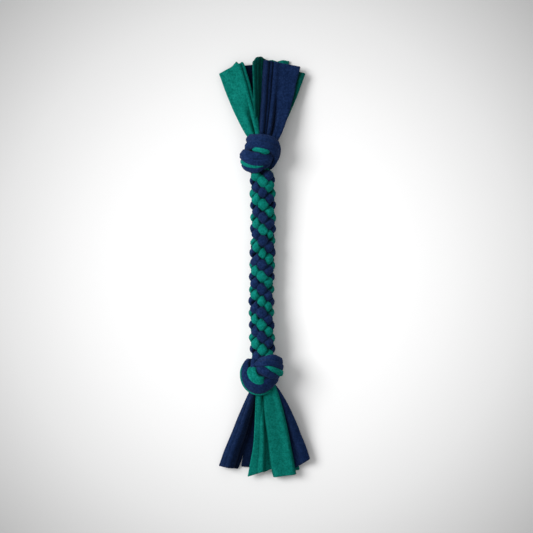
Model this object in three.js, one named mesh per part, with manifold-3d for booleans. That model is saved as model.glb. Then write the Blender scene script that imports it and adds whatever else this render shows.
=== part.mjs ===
// Rope dog toy: eight fleece strips, four green and four navy, braided round into a rope.
// An overhand knot in all eight strips ends the braid on each side, and the strips' free ends
// fan out past the knots as two tassels. The toy lies along Y on the floor, z = 0, with its
// origin on the floor below its middle. Every strip is divided into runs where the toy bends:
// a tail, a knot run and a braid run on each side of the middle.
import * as THREE from 'three';
import { NURBSCurve } from 'three/addons/curves/NURBSCurve.js';
import { mergeVertices } from 'three/addons/utils/BufferGeometryUtils.js';
import Module from 'manifold-3d';

const wasm = await Module();
wasm.setup();

// Driving dimensions, in millimetres
const BRAID_LENGTH = 167; // between the necks of the two knots
const UPPER_BUNDLE = 12; // room across that the eight gathered strips take in each knot
const LOWER_BUNDLE = 13.8;
const UPPER_TASSEL = 73.5; // from the knot's mouth to the longest tip
const LOWER_TASSEL = 80.8;
const STRIP_WIDTH = 25; // the fleece as it was cut
const STRIP_THICKNESS = 2.5;
const GAP = 0.35; // clearance between neighbouring strips
const KNOT_FLAT = 1.4; // how far the knots' undersides are pressed flat by the floor

// Counts
const STRANDS_EACH_WAY = 4;
const BRAID_ROWS = 30;
const STEPS_PER_ROW = 3;
const KNOT_STEPS = 48;
const TAIL_STEPS = 7;
const TAIL_POINTS_ACROSS = 5;

// How a tight round braid of eight strands packs, as multiples of the length of one row
const WIDTH_PER_ROW = 0.9; // a strip gathered into one strand
const THICKNESS_PER_ROW = 0.5;
const MIDDLE_PER_ROW = 1.36; // from the braid's axis to the mean of a strand
const SWING_PER_ROW = 0.48; // out and in from that mean
const LINGER = 0.25; // a strand turns slower while it lies outside
const LYING_SHARE = 0.3; // middle share of the braid that lies on the floor
const NEAR_SHARE = 0.05; // share of a row between the points that give a strand's direction
const COLUMN = Math.PI / 4; // the braid has eight columns of strands
const SLOT = Math.PI / 4; // the knot's mouth has eight places, half a slot off the X axis

// Overhand knot: control points of the bundle's centreline, in bundles, from the braid's
// neck up to the tassel's mouth
const KNOT_ROUTE = [
  [0.0, -1.6, 0.0],
  [0.0, -1.3, -0.01],
  [-0.03, -0.95, -0.08],
  [-0.16, -0.5, -0.26],
  [-0.32, -0.02, -0.52],
  [-0.58, 0.42, -0.72],
  [-0.9, 0.74, -0.32],
  [-0.88, 0.82, 0.4],
  [-0.58, 0.75, 1.06],
  [0.0, 0.66, 1.28],
  [0.6, 0.5, 1.15],
  [1.08, 0.14, 0.77],
  [1.24, -0.42, 0.06],
  [0.9, -0.9, -0.74],
  [0.25, -1.0, -1.12],
  [-0.52, -0.92, -1.15],
  [-1.14, -0.66, -0.72],
  [-1.32, -0.5, 0.1],
  [-1.08, -0.6, 0.78],
  [-0.46, -0.74, 1.08],
  [0.14, -0.7, 0.88],
  [0.36, -0.42, 0.42],
  [0.28, 0.06, 0.24],
  [0.08, 0.6, 0.16],
  [0.0, 1.05, 0.15],
  [0.0, 1.45, 0.15],
];
const NECK_REACH = -KNOT_ROUTE[0][1];
const MOUTH_REACH = KNOT_ROUTE[KNOT_ROUTE.length - 1][1];
const NECK_SHARE = 0.025; // first share of the knot run, where the strands draw together
const WEDGE_SHOULDER = 0.9; // a strip's wedge of the bundle, as shares of the bundle's size
const WEDGE_ROOT = 0.3;

// The pulled knot presses its bundle flat against itself: at shares of the knot run, half the
// bundle's width along the knot and half its thickness out of it, in bundles
const BUNDLE_FORM = [
  [0, 0.42, 0.42],
  [0.1, 0.42, 0.38],
  [0.2, 0.54, 0.38],
  [0.3, 0.66, 0.42],
  [0.4, 0.66, 0.34],
  [0.5, 0.6, 0.34],
  [0.6, 0.6, 0.38],
  [0.7, 0.66, 0.42],
  [0.8, 0.66, 0.42],
  [0.9, 0.4, 0.32],
  [0.96, 0.44, 0.34],
  [1, 0.56, 0.36],
];

// How far the strips are turned round the bundle past their places in the mouth: shares of the
// knot run, and eighths of a turn. The first one follows from the braid.
const UPPER_TURNS = [[0.3, 2], [0.82, 2], [1, 0]];
const LOWER_TURNS = [[0.3, 0], [1, 0]];

// Tips of the tails, by place in the mouth: places 0 to 3 are the upper layer from right to
// left, 4 to 7 the lower layer from left to right. A corner is its x and how far it falls
// short of the longest tip, in strip widths. A fold raises the middle of the tail into a ridge,
// by so many strip thicknesses. A bow below 1 spreads the tail soon after the mouth.
const UPPER_TIPS = [
  { left: [0.54, 0.18], right: [1.41, 0.38], fold: 0.6, bow: 0.72 },
  { left: [0.14, 0.16], right: [0.43, 0.2], fold: 1.2, bow: 0.76 },
  { left: [-0.34, 0.2], right: [0.1, 0], fold: 2, bow: 0.76 },
  { left: [-1.62, 0.64], right: [-0.88, 0.3], fold: 0.6, bow: 0.76 },
  { left: [-1.36, 0.52], right: [-0.8, 0.28], fold: 0, bow: 0.76 },
  { left: [-0.68, 0.28], right: [-0.12, 0.24], fold: 0, bow: 0.76 },
  { left: [0.2, 0.12], right: [0.98, 0.14], fold: 0, bow: 0.76 },
  { left: [1.04, 0.44], right: [1.62, 0.62], fold: 0, bow: 0.7 },
];
const LOWER_TIPS = [
  { left: [1.38, 0.42], right: [1.74, 0.7], fold: 0.6, bow: 0.6 },
  { left: [0.46, 0], right: [1.26, 0.14], fold: 0.6, bow: 0.66 },
  { left: [-0.49, 0.06], right: [0.35, 0.34], fold: 2, bow: 0.78 },
  { left: [-1.62, 0.44], right: [-0.9, 0.34], fold: 1, bow: 0.78 },
  { left: [-1.08, 0.36], right: [-0.47, 0.38], fold: 0, bow: 0.78 },
  { left: [-0.32, 0.48], right: [0.28, 0.48], fold: 0, bow: 0.78 },
  { left: [0.48, 0.24], right: [1.32, 0.3], fold: 0, bow: 0.66 },
  { left: [1.4, 0.84], right: [1.7, 0.92], fold: 0, bow: 0.6 },
];
const ROOT_EDGE = 0.4; // a tail's root at its edges, as a share of its thickness in the middle
const SAG = 1.7; // a tail sinks to the floor soon after the mouth

// Fleece
const green = new THREE.MeshStandardMaterial({ color: 0x0d7a6b, roughness: 0.95, metalness: 0 });
const navy = new THREE.MeshStandardMaterial({ color: 0x1c3160, roughness: 0.95, metalness: 0 });

// Strips: hand -1 turns clockwise up the braid and lies outside on even rows, hand +1 the rest
const strips = [];
for (const hand of [-1, 1]) {
  for (let k = 0; k < STRANDS_EACH_WAY; k += 1) {
    const isGreen = k % 2 === 0;
    const number = (hand < 0 ? 1 : 3) + Math.floor(k / 2);
    strips.push({
      name: `${isGreen ? 'green' : 'navy'}_${number}`,
      material: isGreen ? green : navy,
      hand,
      start: Math.PI / 2 + (k * 2 * Math.PI) / STRANDS_EACH_WAY,
    });
  }
}

// Layout along Y, from the lower tassel's tips to the upper one's
const knotLength = NECK_REACH + MOUTH_REACH;
const totalLength = LOWER_TASSEL + UPPER_TASSEL + BRAID_LENGTH + knotLength * (LOWER_BUNDLE + UPPER_BUNDLE);
const lowerCentre = -totalLength / 2 + LOWER_TASSEL + MOUTH_REACH * LOWER_BUNDLE;
const braidStart = lowerCentre + NECK_REACH * LOWER_BUNDLE;
const braidEnd = braidStart + BRAID_LENGTH;
const upperCentre = braidEnd + NECK_REACH * UPPER_BUNDLE;

// Braid: its strands' sizes follow from the length of a row
const row = BRAID_LENGTH / BRAID_ROWS;
const strandWidth = WIDTH_PER_ROW * row;
const strandThickness = THICKNESS_PER_ROW * row;
const middleRadius = MIDDLE_PER_ROW * row;
const swing = SWING_PER_ROW * row;

// One end of the toy: a knot and its tassel. The lower end is the upper one turned about Z.
function makeEnd(name, side, bundle, centre, tassel, tips, leader, turns) {
  const route = new NURBSCurve(3, clampedKnots(KNOT_ROUTE.length), KNOT_ROUTE.map(
    ([x, y, z]) => new THREE.Vector4(side * x * bundle, centre + side * y * bundle, z * bundle, 1),
  ));
  const end = { name, side, bundle, tassel, tips, leader, turns, route };
  end.frames = bundleFrames(end);
  end.height = -KNOT_FLAT - Math.min(...end.frames.map(
    ({ point, across, facing, width, thickness }) => point.z - Math.hypot(width * across.z, thickness * facing.z),
  ));
  return end;
}

// Frames along the bundle: facing points out of the knot, and half the bundle's width lies across
function bundleFrames(end) {
  const points = end.route.getSpacedPoints(KNOT_STEPS);
  return points.map((point, i) => {
    const tangent = end.route.getTangentAt(i / KNOT_STEPS);
    const facing = i > 0 ? new THREE.Vector3(point.x, 0, point.z) : new THREE.Vector3(0, 0, -1);
    facing.addScaledVector(tangent, -facing.dot(tangent)).normalize();
    const across = new THREE.Vector3().crossVectors(tangent, facing).multiplyScalar(end.side);
    const [width, thickness] = between(BUNDLE_FORM, i / KNOT_STEPS).map((size) => size * end.bundle);
    return { point, facing, across, width, thickness };
  });
}

// Values at a share, from rows that each hold a share and the values there
function between(rows, share) {
  let next = 1;
  while (next < rows.length - 1 && rows[next][0] < share) next += 1;
  const [from, ...before] = rows[next - 1];
  const [to, ...after] = rows[next];
  return before.map((value, k) => THREE.MathUtils.mapLinear(share, from, to, value, after[k]));
}

function clampedKnots(count) {
  const spans = count - 3;
  const knots = [0, 0, 0];
  for (let i = 0; i <= spans; i += 1) knots.push(i);
  return [...knots, spans, spans, spans];
}

const lower = makeEnd('lower', -1, LOWER_BUNDLE, lowerCentre, LOWER_TASSEL, LOWER_TIPS, 'navy_4', LOWER_TURNS);
const upper = makeEnd('upper', 1, UPPER_BUNDLE, upperCentre, UPPER_TASSEL, UPPER_TIPS, 'navy_3', UPPER_TURNS);

// Closed solid through rings of equal point counts, with its faces outwards. In a paired solid, the
// faces to its neighbours on both sides are split the same way, so that twisted neighbours fit.
function loft(rings, paired = false) {
  const sides = rings[0].length;
  const position = rings.flat().flatMap((p) => [p.x, p.y, p.z]);
  const index = [];
  for (let ring = 0; ring + 1 < rings.length; ring += 1) {
    for (let k = 0; k < sides; k += 1) {
      const a = ring * sides + k;
      const b = ring * sides + ((k + 1) % sides);
      if (paired && k === sides - 1) index.push(a, b, b + sides, a, b + sides, a + sides);
      else index.push(a, b, a + sides, b, b + sides, a + sides);
    }
  }
  const last = (rings.length - 1) * sides;
  for (const [a, b, c] of ladder(sides)) {
    index.push(a, c, b);
    index.push(last + a, last + b, last + c);
  }
  return solidGeometry(position, index);
}

// Triangles across an end ring, rung by rung between its two long sides
function ladder(sides) {
  const triangles = [];
  let low = 0;
  let high = sides - 1;
  while (high - low > 1) {
    triangles.push([low, low + 1, high]);
    low += 1;
    if (high - low > 1) triangles.push([low, high - 1, high]);
    high -= 1;
  }
  return triangles;
}

function solidGeometry(position, index) {
  const corner = (k) => new THREE.Vector3().fromArray(position, 3 * k);
  let volume = 0;
  for (let i = 0; i < index.length; i += 3) {
    volume += corner(index[i]).dot(corner(index[i + 1]).cross(corner(index[i + 2])));
  }
  const geometry = new THREE.BufferGeometry();
  geometry.setAttribute('position', new THREE.Float32BufferAttribute(position, 3));
  geometry.setIndex(volume < 0 ? [...index].reverse() : index);
  geometry.computeVertexNormals();
  return geometry;
}

// A strand's phase in rows along the braid. It eases in and out at the necks, where the eight strands
// run straight and evenly spaced.
function braidPhase(y) {
  const u = (y - braidStart) / row;
  if (u < 1) return 0.5 + (u * u) / 2;
  if (u > BRAID_ROWS - 1) return BRAID_ROWS - 0.5 - (BRAID_ROWS - u) ** 2 / 2;
  return u;
}

function braidAngle(strip, phase) {
  const lag = (LINGER / Math.PI) * Math.sin(Math.PI * phase);
  return strip.start + strip.hand * COLUMN * (phase + strip.hand * lag);
}

// The middle of the braid lies on the floor, and its ends climb to the middles of the knots
const lyingHeight = middleRadius + swing + strandThickness / 2;

function braidHeight(y) {
  const along = (2 * (y - braidStart)) / BRAID_LENGTH - 1;
  const rise = THREE.MathUtils.smoothstep(Math.abs(along), LYING_SHARE, 1);
  return THREE.MathUtils.lerp(lyingHeight, along < 0 ? lower.height : upper.height, rise);
}

function braidCentre(strip, y) {
  const phase = braidPhase(y);
  const angle = braidAngle(strip, phase);
  const radius = middleRadius - strip.hand * swing * Math.cos(Math.PI * phase);
  return new THREE.Vector3(radius * Math.cos(angle), y, braidHeight(y) + radius * Math.sin(angle));
}

// Five points of a strand's section, as outward and sideways offsets, starting and ending inside
const SECTION_ANGLES = [-72, 0, 72, 144, 216].map(THREE.MathUtils.degToRad);

function strandSection() {
  return SECTION_ANGLES.map((a) => [(strandThickness / 2) * Math.cos(a), (strandWidth / 2) * Math.sin(a)]);
}

function braidRun(strip, from, to) {
  const steps = Math.max(2, Math.round(((to - from) / row) * STEPS_PER_ROW));
  const section = strandSection();
  const rings = [];
  for (let i = 0; i <= steps; i += 1) {
    const y = THREE.MathUtils.lerp(from, to, i / steps);
    const centre = braidCentre(strip, y);
    const near = NEAR_SHARE * row;
    const tangent = braidCentre(strip, y + near).sub(braidCentre(strip, y - near)).normalize();
    const angle = braidAngle(strip, braidPhase(y));
    const outward = new THREE.Vector3(Math.cos(angle), 0, Math.sin(angle));
    outward.addScaledVector(tangent, -outward.dot(tangent)).normalize();
    const sideways = new THREE.Vector3().crossVectors(tangent, outward);
    rings.push(section.map(([o, s]) => centre.clone().addScaledVector(outward, o).addScaledVector(sideways, s)));
  }
  return loft(rings);
}

// Knot: the strips keep their order round the bundle from the neck to the mouth
function neckAngle(end, strip) {
  return braidAngle(strip, end === lower ? braidPhase(braidStart) : braidPhase(braidEnd));
}

// How far the bundle is turned along the run, past the strips' places in the mouth
function bundleTurns(end) {
  const { across, facing } = end.frames[0];
  const leader = strips.find((strip) => strip.name === end.leader);
  const angle = neckAngle(end, leader);
  const outward = new THREE.Vector3(Math.cos(angle), 0, Math.sin(angle));
  const first = Math.atan2(outward.dot(facing), outward.dot(across)) - SLOT / 2;
  const wanted = end.turns[0][1] * SLOT;
  const nearest = first - 2 * Math.PI * Math.round((first - wanted) / (2 * Math.PI));
  return [[0, nearest], ...end.turns.map(([share, eighths]) => [share, eighths * SLOT])];
}

// One strip's wedge of the flattened bundle, in the same order as the strand's section
function wedgeSection(angle, { across, facing, width, thickness }) {
  const edge = (side) => {
    const at = angle + (side * SLOT) / 2;
    const along = new THREE.Vector2(width * Math.cos(at), thickness * Math.sin(at));
    const inset = new THREE.Vector2(along.y, -along.x).setLength((side * GAP) / 2);
    return (share) => along.clone().multiplyScalar(share).add(inset);
  };
  const before = edge(-1);
  const after = edge(1);
  const crest = new THREE.Vector2(width * Math.cos(angle), thickness * Math.sin(angle));
  const corners = [before(WEDGE_SHOULDER), crest, after(WEDGE_SHOULDER), after(WEDGE_ROOT), before(WEDGE_ROOT)];
  return corners.map((c) => across.clone().multiplyScalar(c.x).addScaledVector(facing, c.y));
}

function knotRun(end, strip) {
  const turns = bundleTurns(end);
  const place = placeOf(end, strip);
  const neck = neckAngle(end, strip);
  const outward = new THREE.Vector3(Math.cos(neck), 0, Math.sin(neck));
  const sideways = new THREE.Vector3(-Math.sin(neck), 0, Math.cos(neck));
  const strand = strandSection().map(
    ([o, s]) => outward.clone().multiplyScalar(middleRadius + o).addScaledVector(sideways, s),
  );
  const rings = end.frames.map((frame, i) => {
    const share = i / KNOT_STEPS;
    const drawn = THREE.MathUtils.smoothstep(share, 0, NECK_SHARE);
    const [turn] = between(turns, share);
    return wedgeSection((place + 0.5) * SLOT + turn, frame).map((corner, k) => {
      const offset = strand[k].clone().lerp(corner, drawn);
      return offset.add(frame.point).add(new THREE.Vector3(0, 0, end.height));
    });
  });
  return pressedFlat(loft(rings, true));
}

// What would reach below the floor is cut off level with it
function pressedFlat(geometry) {
  geometry.computeBoundingBox();
  const { min, max } = geometry.boundingBox;
  if (min.z >= 0) return geometry;
  const size = max.clone().sub(min).multiplyScalar(2);
  const floor = new THREE.BoxGeometry(size.x, size.y, size.z);
  floor.translate((min.x + max.x) / 2, (min.y + max.y) / 2, -size.z / 2);
  const cut = solid(geometry).subtract(solid(floor)).getMesh();
  return solidGeometry(Array.from(cut.vertProperties), Array.from(cut.triVerts));
}

function solid(geometry) {
  const bare = geometry.clone();
  bare.deleteAttribute('normal');
  bare.deleteAttribute('uv');
  const merged = mergeVertices(bare);
  const vertProperties = new Float32Array(merged.getAttribute('position').array);
  const triVerts = new Uint32Array(merged.getIndex().array);
  return new wasm.Manifold(new wasm.Mesh({ numProp: 3, vertProperties, triVerts }));
}

// Tail: spreads from its gathered root at the mouth to its cut tip. The lower layer's tips lie
// on the floor and the upper layer's tips on the lower ones.
function tail(end, place) {
  const tip = end.tips[place];
  const { point: mouth, width, thickness } = end.frames[KNOT_STEPS];
  const inscribed = Math.sin(SLOT / 2) / (1 + Math.sin(SLOT / 2));
  const rootWidth = inscribed * width - GAP / 2;
  const rootThickness = inscribed * thickness - GAP / 2;
  const angle = (place + 0.5) * SLOT;
  const rootX = mouth.x + (1 - inscribed) * width * Math.cos(angle);
  const rootZ = end.height + mouth.z + (1 - inscribed) * thickness * Math.sin(angle);
  const rootY = mouth.y + end.side * GAP;
  const tipZ = STRIP_THICKNESS / 2 + (place < 4 ? STRIP_THICKNESS + GAP : 0);
  const tipY = (short) => mouth.y + end.side * (end.tassel - short * STRIP_WIDTH);
  const edgeAt = ([x, short], rootEdge, t) => new THREE.Vector2(
    THREE.MathUtils.lerp(rootEdge, x * STRIP_WIDTH, t ** tip.bow),
    THREE.MathUtils.lerp(rootY, tipY(short), t),
  );
  const rings = [];
  for (let i = 0; i <= TAIL_STEPS; i += 1) {
    const t = i / TAIL_STEPS;
    const a = edgeAt(tip.left, rootX - rootWidth, t);
    const b = edgeAt(tip.right, rootX + rootWidth, t);
    const top = [];
    const bottom = [];
    for (let k = 0; k < TAIL_POINTS_ACROSS; k += 1) {
      const u = k / (TAIL_POINTS_ACROSS - 1);
      const flat = a.clone().lerp(b, u);
      const ridge = tip.fold * STRIP_THICKNESS * t * (1 - Math.abs(2 * u - 1));
      const round = rootThickness * (ROOT_EDGE + (1 - ROOT_EDGE) * Math.sqrt(1 - (2 * u - 1) ** 2));
      const half = THREE.MathUtils.lerp(round, STRIP_THICKNESS / 2, t);
      const z = THREE.MathUtils.lerp(tipZ, rootZ, (1 - t) ** SAG) + ridge;
      top.push(new THREE.Vector3(flat.x, flat.y, z + half));
      bottom.unshift(new THREE.Vector3(flat.x, flat.y, z - half));
    }
    rings.push([...top, ...bottom]);
  }
  return loft(rings);
}

// Places in an end's mouth are counted from its leading strip
function placeOf(end, strip) {
  const leader = strips.find((other) => other.name === end.leader);
  const eighths = Math.round((neckAngle(end, strip) - neckAngle(end, leader)) / SLOT);
  return ((eighths % strips.length) + strips.length) % strips.length;
}

// Assembly
const toy = new THREE.Group();

function addRun(strip, run, geometry) {
  const mesh = new THREE.Mesh(geometry, strip.material);
  mesh.name = `${strip.name}_${run}`;
  toy.add(mesh);
}

const middle = (braidStart + braidEnd) / 2;
for (const strip of strips) {
  addRun(strip, 'lower_knot', knotRun(lower, strip));
  addRun(strip, 'lower_braid', braidRun(strip, braidStart + 2 * GAP, middle - GAP));
  addRun(strip, 'upper_braid', braidRun(strip, middle + GAP, braidEnd - 2 * GAP));
  addRun(strip, 'upper_knot', knotRun(upper, strip));
}
for (const end of [lower, upper]) {
  for (const strip of strips) addRun(strip, `${end.name}_tail`, tail(end, placeOf(end, strip)));
}

export default toy;
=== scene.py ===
"""Rope dog toy: eight fleece strips braided round, knotted at both ends and fanned out as tassels."""
import math

import bpy
import numpy as np
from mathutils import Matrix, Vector, noise


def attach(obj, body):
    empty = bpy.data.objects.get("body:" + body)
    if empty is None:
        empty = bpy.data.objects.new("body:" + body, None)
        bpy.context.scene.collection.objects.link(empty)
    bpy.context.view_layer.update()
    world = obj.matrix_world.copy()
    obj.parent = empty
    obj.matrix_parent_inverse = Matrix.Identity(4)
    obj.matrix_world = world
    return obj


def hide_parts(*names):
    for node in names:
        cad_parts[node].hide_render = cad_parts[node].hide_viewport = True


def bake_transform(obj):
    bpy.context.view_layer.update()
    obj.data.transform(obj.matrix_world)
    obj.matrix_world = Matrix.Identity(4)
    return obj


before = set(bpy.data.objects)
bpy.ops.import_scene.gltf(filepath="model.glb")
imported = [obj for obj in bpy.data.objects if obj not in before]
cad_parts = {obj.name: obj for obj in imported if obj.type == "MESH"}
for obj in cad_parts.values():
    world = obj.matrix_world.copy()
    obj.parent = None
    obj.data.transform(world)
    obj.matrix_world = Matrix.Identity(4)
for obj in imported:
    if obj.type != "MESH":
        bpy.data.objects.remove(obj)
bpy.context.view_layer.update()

MM = 0.001

# Strips: colour, hand (which way it turns up the braid) and quarter of the braid that it starts in
STRIPS = {
    "green_1": ("green", -1, 0),
    "navy_1": ("navy", -1, 1),
    "green_2": ("green", -1, 2),
    "navy_2": ("navy", -1, 3),
    "green_3": ("green", 1, 0),
    "navy_3": ("navy", 1, 1),
    "green_4": ("green", 1, 2),
    "navy_4": ("navy", 1, 3),
}

# Braid, in millimetres: its ends along the toy, how far to the right it lies, its height where it lies on
# the floor, and the middle share of it that does
BRAID_START = -77.11
BRAID_END = 89.89
BRAID_MIDDLE = (BRAID_START + BRAID_END) / 2
BRAID_OFFSET = 0.5
LYING_HEIGHT = 13.0
LYING_SHARE = 0.3
# Rows of crossings: their length, the steps that a strand has in one, where the first one lies, and the
# angle that a strand turns through in one
ROW = 5.7
STEPS_IN_ROW = 11
FIRST_CROSSING = -77.6
CROSSING_ANGLE = math.pi / 4
# A strand goes round at a middle radius and swings out and in from it. While it lies outside it turns
# slower, and it is wider and thicker there than inside.
MIDDLE_RADIUS = 6.5
SWING = 2.7
LINGER = 0.74
OUTER_WIDTH = 9.4
INNER_WIDTH = 5.6
OUTER_THICKNESS = 6.2
INNER_THICKNESS = 4.3
# Length of a strand in a length of braid
STRAND_PER_BRAID = 1.3
# Painted shade where strands lie under others: a strand is painted dark up to this share of its way out,
# and lighter over the next share
UNDER_SHARE = 0.3
UNDER_FADE = 0.5
# Handmade unevenness: how much places and widths vary, over what length, the factor that brings the noise
# to about -1 to 1, and how far apart strips and kinds of unevenness lie in the noise
UNEVEN_PLACE = 0.22
UNEVEN_WIDTH = 0.24
UNEVEN_LENGTH = 21.0
UNEVEN_REACH = 1.6
STRIP_STEP = 9.7
KIND_STEP = 4.1
# How full the strands of each colour are at some places along the braid: the green ones are tighter above
# its middle and looser beside the knots
FULLNESS_PLACES = (-77.0, -31.0, -8.0, 25.0, 60.0, 90.0)
FULLNESS = {
    "green": (1.12, 0.9, 0.99, 0.8, 1.12, 1.14),
    "navy": (1.0, 1.12, 1.08, 1.22, 1.0, 0.98),
}
# The braid wanders a little from side to side
WANDER = 0.8
WANDER_LENGTH = 160.0
WANDER_CENTRE = 7.0
# Where it goes into a knot the braid narrows: by what share, over what length, and how early before its end
NARROWING = {"lower": (0.1, 8.0, 0.0), "upper": (0.9, 4.5, 1.0)}
# The braid's three parts: how far the outer ones reach into the knots, half the length of the middle one,
# and spans beside the knots that are listed for bends, though nothing here bends the parts
INTO_LOWER_KNOT = 11.0
INTO_UPPER_KNOT = 10.0
FOLD_ZONE = 48.0
LOWER_BEND = (-49.0, -81.0)
UPPER_BEND = (62.0, 94.0)
BRAID_STRAND = {
    "Sides": 22,
    "Squareness": 0.94,
    "Crease Depth": 2.3 * MM,
    "Crease Length": 11 * MM,
    "Creases Around": 1.1,
}
BRAID_SEED_STEP = 3.7

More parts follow.
